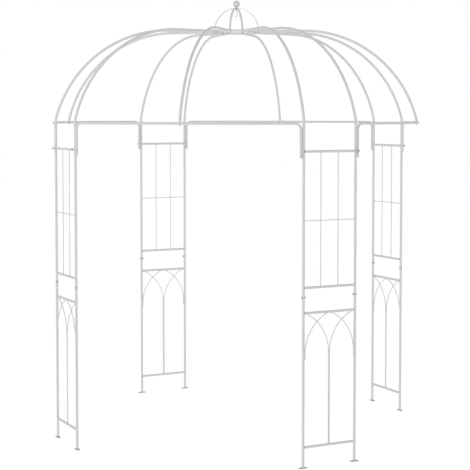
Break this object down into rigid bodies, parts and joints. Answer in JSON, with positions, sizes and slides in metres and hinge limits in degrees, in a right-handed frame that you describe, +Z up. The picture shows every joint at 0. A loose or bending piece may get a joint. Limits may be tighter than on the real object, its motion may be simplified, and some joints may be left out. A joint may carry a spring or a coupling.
{
  "type": "garden rose pavilion",
  "caption": "Open round garden pavilion of white coated steel tube: trellis side panels, arched doorways and bent ribs that rise to a ring with a small bar crown and ball.",
  "frame": {"origin": "middle of the circle of feet, at ground level", "axes": "+Z up, -Y out of the front doorway, +X out of the right-hand doorway seen from the front"},
  "size_m": [2.388, 2.388, 2.7982],
  "materials": {
    "white_coating": "satin",
    "zinc_plated": "satin"
  },
  "bodies": {
    "root": {"lower_panel_front_left": "white_coating", "lower_panel_front_right": "white_coating", "lower_panel_back_left": "white_coating", "lower_panel_back_right": "white_coating", "upper_panel_front_left": "white_coating", "upper_panel_front_right": "white_coating", "upper_panel_back_left": "white_coating", "upper_panel_back_right": "white_coating", "front_arch": "white_coating", "right_arch": "white_coating", "back_arch": "white_coating", "left_arch": "white_coating", "front_left_rib_front": "white_coating", "front_left_rib_side": "white_coating", "front_right_rib_front": "white_coating", "front_right_rib_side": "white_coating", "back_left_rib_back": "white_coating", "back_left_rib_side": "white_coating", "back_right_rib_back": "white_coating", "back_right_rib_side": "white_coating", "front_middle_rib": "white_coating", "right_middle_rib": "white_coating", "back_middle_rib": "white_coating", "left_middle_rib": "white_coating", "hub_ring": "white_coating", "crown": "white_coating", "finial": "white_coating", "lantern_hook": "zinc_plated"}
  },
  "joints": []
}
